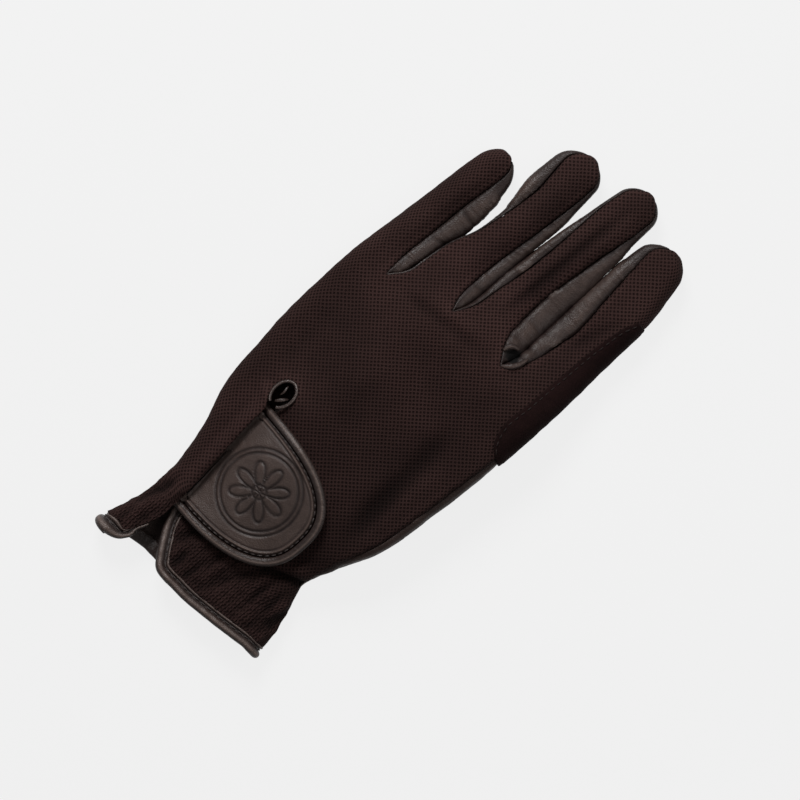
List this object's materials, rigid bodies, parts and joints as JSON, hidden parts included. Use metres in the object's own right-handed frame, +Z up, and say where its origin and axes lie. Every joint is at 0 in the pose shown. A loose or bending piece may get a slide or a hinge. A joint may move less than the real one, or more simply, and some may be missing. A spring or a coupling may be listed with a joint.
{
  "type": "horse riding glove",
  "caption": "Riding glove for the left hand with a mesh back, leather palm and side walls, a wide closing tab over a slit, and a bound gathered hem, lying palm down.",
  "frame": {"origin": "on the surface the glove lies on, under the middle of its outline", "axes": "+X towards the thumb side, +Y towards the fingertips, +Z up out of the back of the hand"},
  "size_m": [0.0942, 0.2276, 0.0244],
  "materials": {
    "mesh": "dull dark brown knitted mesh with a fine diagonal lattice",
    "palm_leather": "soft dark brown leather with a fine grain and a low sheen",
    "tab_leather": "smooth dark brown leather with a fine grain",
    "binding_leather": "rolled dark brown leather with a slight sheen",
    "suede": "matt black-brown synthetic suede",
    "touch_fabric": "rough looped dark brown fabric",
    "closure": "dark hook and loop pad"
  },
  "bodies": {
    "root": {"back": "mesh", "palm": "palm_leather", "touch_tip": "touch_fabric", "fourchette_little_ring": "palm_leather", "fourchette_ring_middle": "palm_leather", "fourchette_middle_index": "palm_leather", "index_patch": "suede", "thumb_leather": "palm_leather", "thumb_mesh": "mesh", "tab": "tab_leather", "tab_binding": "binding_leather", "closure_pad": "closure", "keyhole_loop": "binding_leather", "hem_binding": "binding_leather"}
  },
  "joints": []
}
